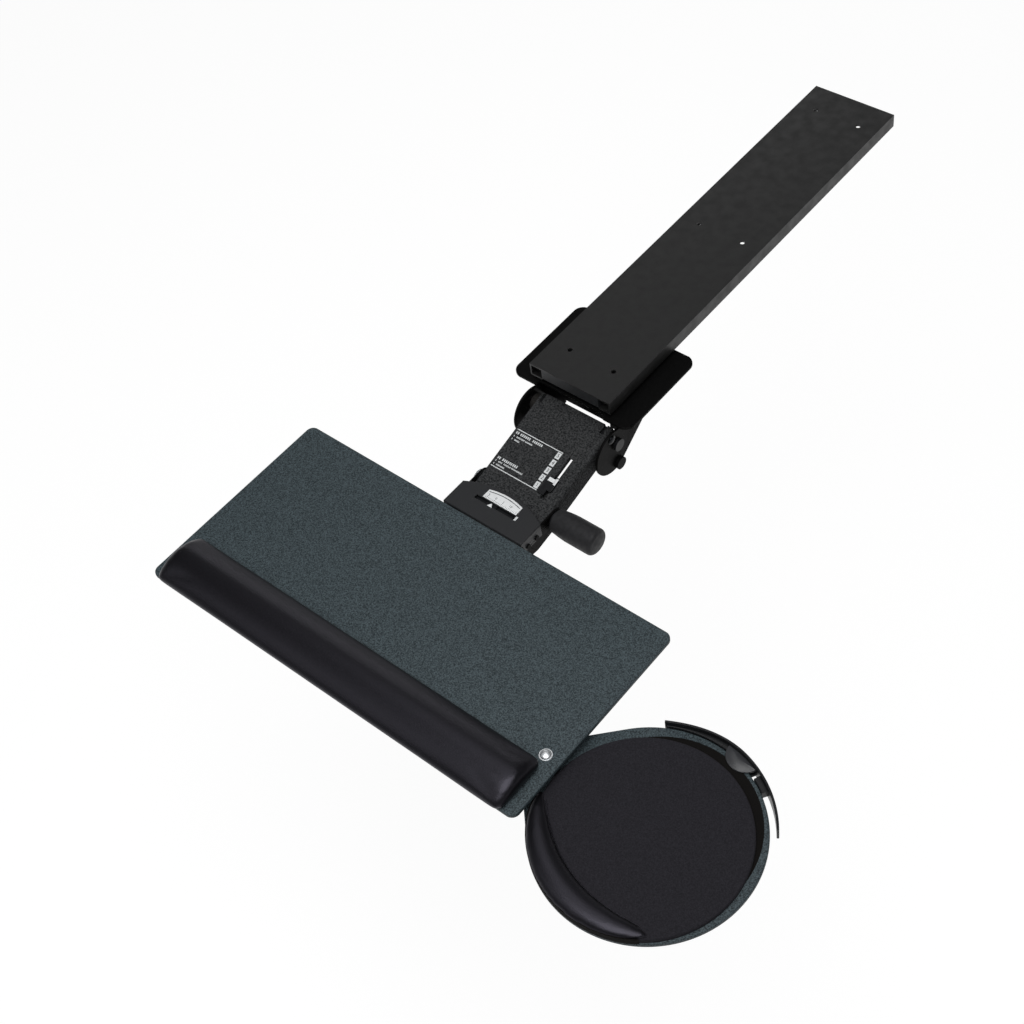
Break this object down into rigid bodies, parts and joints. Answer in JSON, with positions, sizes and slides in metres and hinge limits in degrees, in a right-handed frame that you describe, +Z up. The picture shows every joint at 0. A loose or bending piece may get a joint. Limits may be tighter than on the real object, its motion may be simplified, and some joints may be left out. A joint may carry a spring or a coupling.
{
  "type": "keyboard tray under desk",
  "caption": "Under-desk keyboard tray on a sliding track with a swivel, a parallel lift arm, a tilting board with a padded palm rest and a swing-out round mouse platform.",
  "frame": {"origin": "on the swivel axis, on the top face of the track where it meets the desk's underside, with the tray pulled out", "axes": "+X to the user's right, +Y away from the user along the track, +Z up"},
  "size_m": [0.722, 1.0163, 0.128],
  "materials": {
    "zinc_steel": "zinc plated",
    "track_steel": "black electro-coat",
    "black_steel": "satin black powder coat",
    "textured_black": "black pebble-textured powder coat",
    "black_plastic": "moulded black",
    "nylon": "natural nylon",
    "friction_lining": "brake lining",
    "spring_steel": "oiled spring steel",
    "grey_plastic": "smooth dark grey",
    "white_plastic": "white",
    "rubber": "soft black rubber",
    "brass": "turned",
    "board_laminate": "pebbled dark laminate",
    "palm_cover": "soft black cover",
    "pad_cloth": "black jersey",
    "chrome": "polished"
  },
  "bodies": {
    "track": {"track_rail": "track_steel", "front_stop": "black_plastic", "rear_stop": "black_plastic"},
    "carriage": {"carriage_plate": "zinc_steel", "carriage_glides": "nylon", "swivel_stud": "zinc_steel", "swivel_washer": "nylon", "swivel_nut": "zinc_steel"},
    "swivel": {"swivel_plate": "black_steel", "left_cheek": "black_steel", "right_cheek": "black_steel", "bracket_rivets": "zinc_steel", "lift_pin": "zinc_steel", "link_pin": "black_steel", "cross_web": "black_steel", "link_spacers": "nylon", "friction_discs": "friction_lining"},
    "arm": {"arm_channel": "textured_black", "lift_spring": "spring_steel"},
    "height_marker": {"height_pointer": "black_plastic"},
    "link": {"lower_link": "black_steel"},
    "head": {"head_block": "black_steel", "tilt_bolt": "zinc_steel", "head_link_pin": "zinc_steel"},
    "knob": {"tilt_knob": "rubber", "knob_insert": "brass"},
    "tray": {"tray_bracket": "black_steel", "bracket_screws": "zinc_steel", "tilt_washers": "nylon", "head_cover": "grey_plastic", "cover_screws": "black_plastic", "gauge_plate": "white_plastic", "board": "board_laminate", "palm_rest_base": "black_plastic", "palm_rest": "palm_cover", "mouse_pivot_bolt": "zinc_steel", "mouse_pivot_cap": "chrome", "mouse_spacer": "black_plastic", "mouse_pivot_nut": "zinc_steel"},
    "tilt_marker": {"tilt_pointer": "white_plastic"},
    "mouse": {"mouse_platform": "board_laminate", "mouse_pad": "pad_cloth", "mouse_palm_rest": "palm_cover"},
    "guard": {"mouse_guard": "black_plastic"}
  },
  "joints": [
    {"name": "track_slide", "type": "slide", "parent": "track", "child": "carriage", "axis": [0, 1, 0], "range_m": [0, 0.4]},
    {"name": "swivel_turn", "type": "hinge", "parent": "carriage", "child": "swivel", "pos_m": [0, 0, -0.025], "axis": [0, 0, 1], "range_deg": [-90, 90]},
    {"name": "lift", "type": "hinge", "parent": "swivel", "child": "arm", "pos_m": [0, -0.057, -0.062], "axis": [1, 0, 0], "range_deg": [-26, 34]},
    {"name": "height_marker_slide", "type": "slide", "parent": "arm", "child": "height_marker", "axis": [0, 0.9659, 0.2588], "range_m": [-0.0148, 0.0192]},
    {"name": "link_turn", "type": "hinge", "parent": "swivel", "child": "link", "pos_m": [0, -0.057, -0.092], "axis": [1, 0, 0], "range_deg": [-26.5, 34.5]},
    {"name": "head_level", "type": "hinge", "parent": "arm", "child": "head", "pos_m": [0, -0.16132, -0.08995], "axis": [1, 0, 0], "range_deg": [-34.5, 26.5]},
    {"name": "tilt", "type": "hinge", "parent": "head", "child": "tray", "pos_m": [0, -0.16132, -0.08995], "axis": [1, 0, 0], "range_deg": [-15, 8]},
    {"name": "tilt_marker_slide", "type": "slide", "parent": "tray", "child": "tilt_marker", "axis": [1, 0, 0], "range_m": [-0.0165, 0.0305]},
    {"name": "knob_turn", "type": "hinge", "parent": "head", "child": "knob", "pos_m": [0.08, -0.16132, -0.08995], "axis": [1, 0, 0], "range_deg": [-360, 0]},
    {"name": "mouse_swing", "type": "hinge", "parent": "tray", "child": "mouse", "pos_m": [0.236, -0.40132, -0.09495], "axis": [0, 0, 1], "range_deg": [-15, 90]},
    {"name": "guard_slide", "type": "hinge", "parent": "mouse", "child": "guard", "pos_m": [0.355, -0.40132, -0.09495], "axis": [0, 0, 1], "range_deg": [-20, 20]}
  ],
  "couplings": [
    {"joint": "link_turn", "follows": "lift", "ratio": 1},
    {"joint": "head_level", "follows": "lift", "ratio": -1},
    {"joint": "height_marker_slide", "follows": "lift", "m_per_rad": 0.032},
    {"joint": "tilt_marker_slide", "follows": "tilt", "m_per_rad": -0.11459}
  ]
}
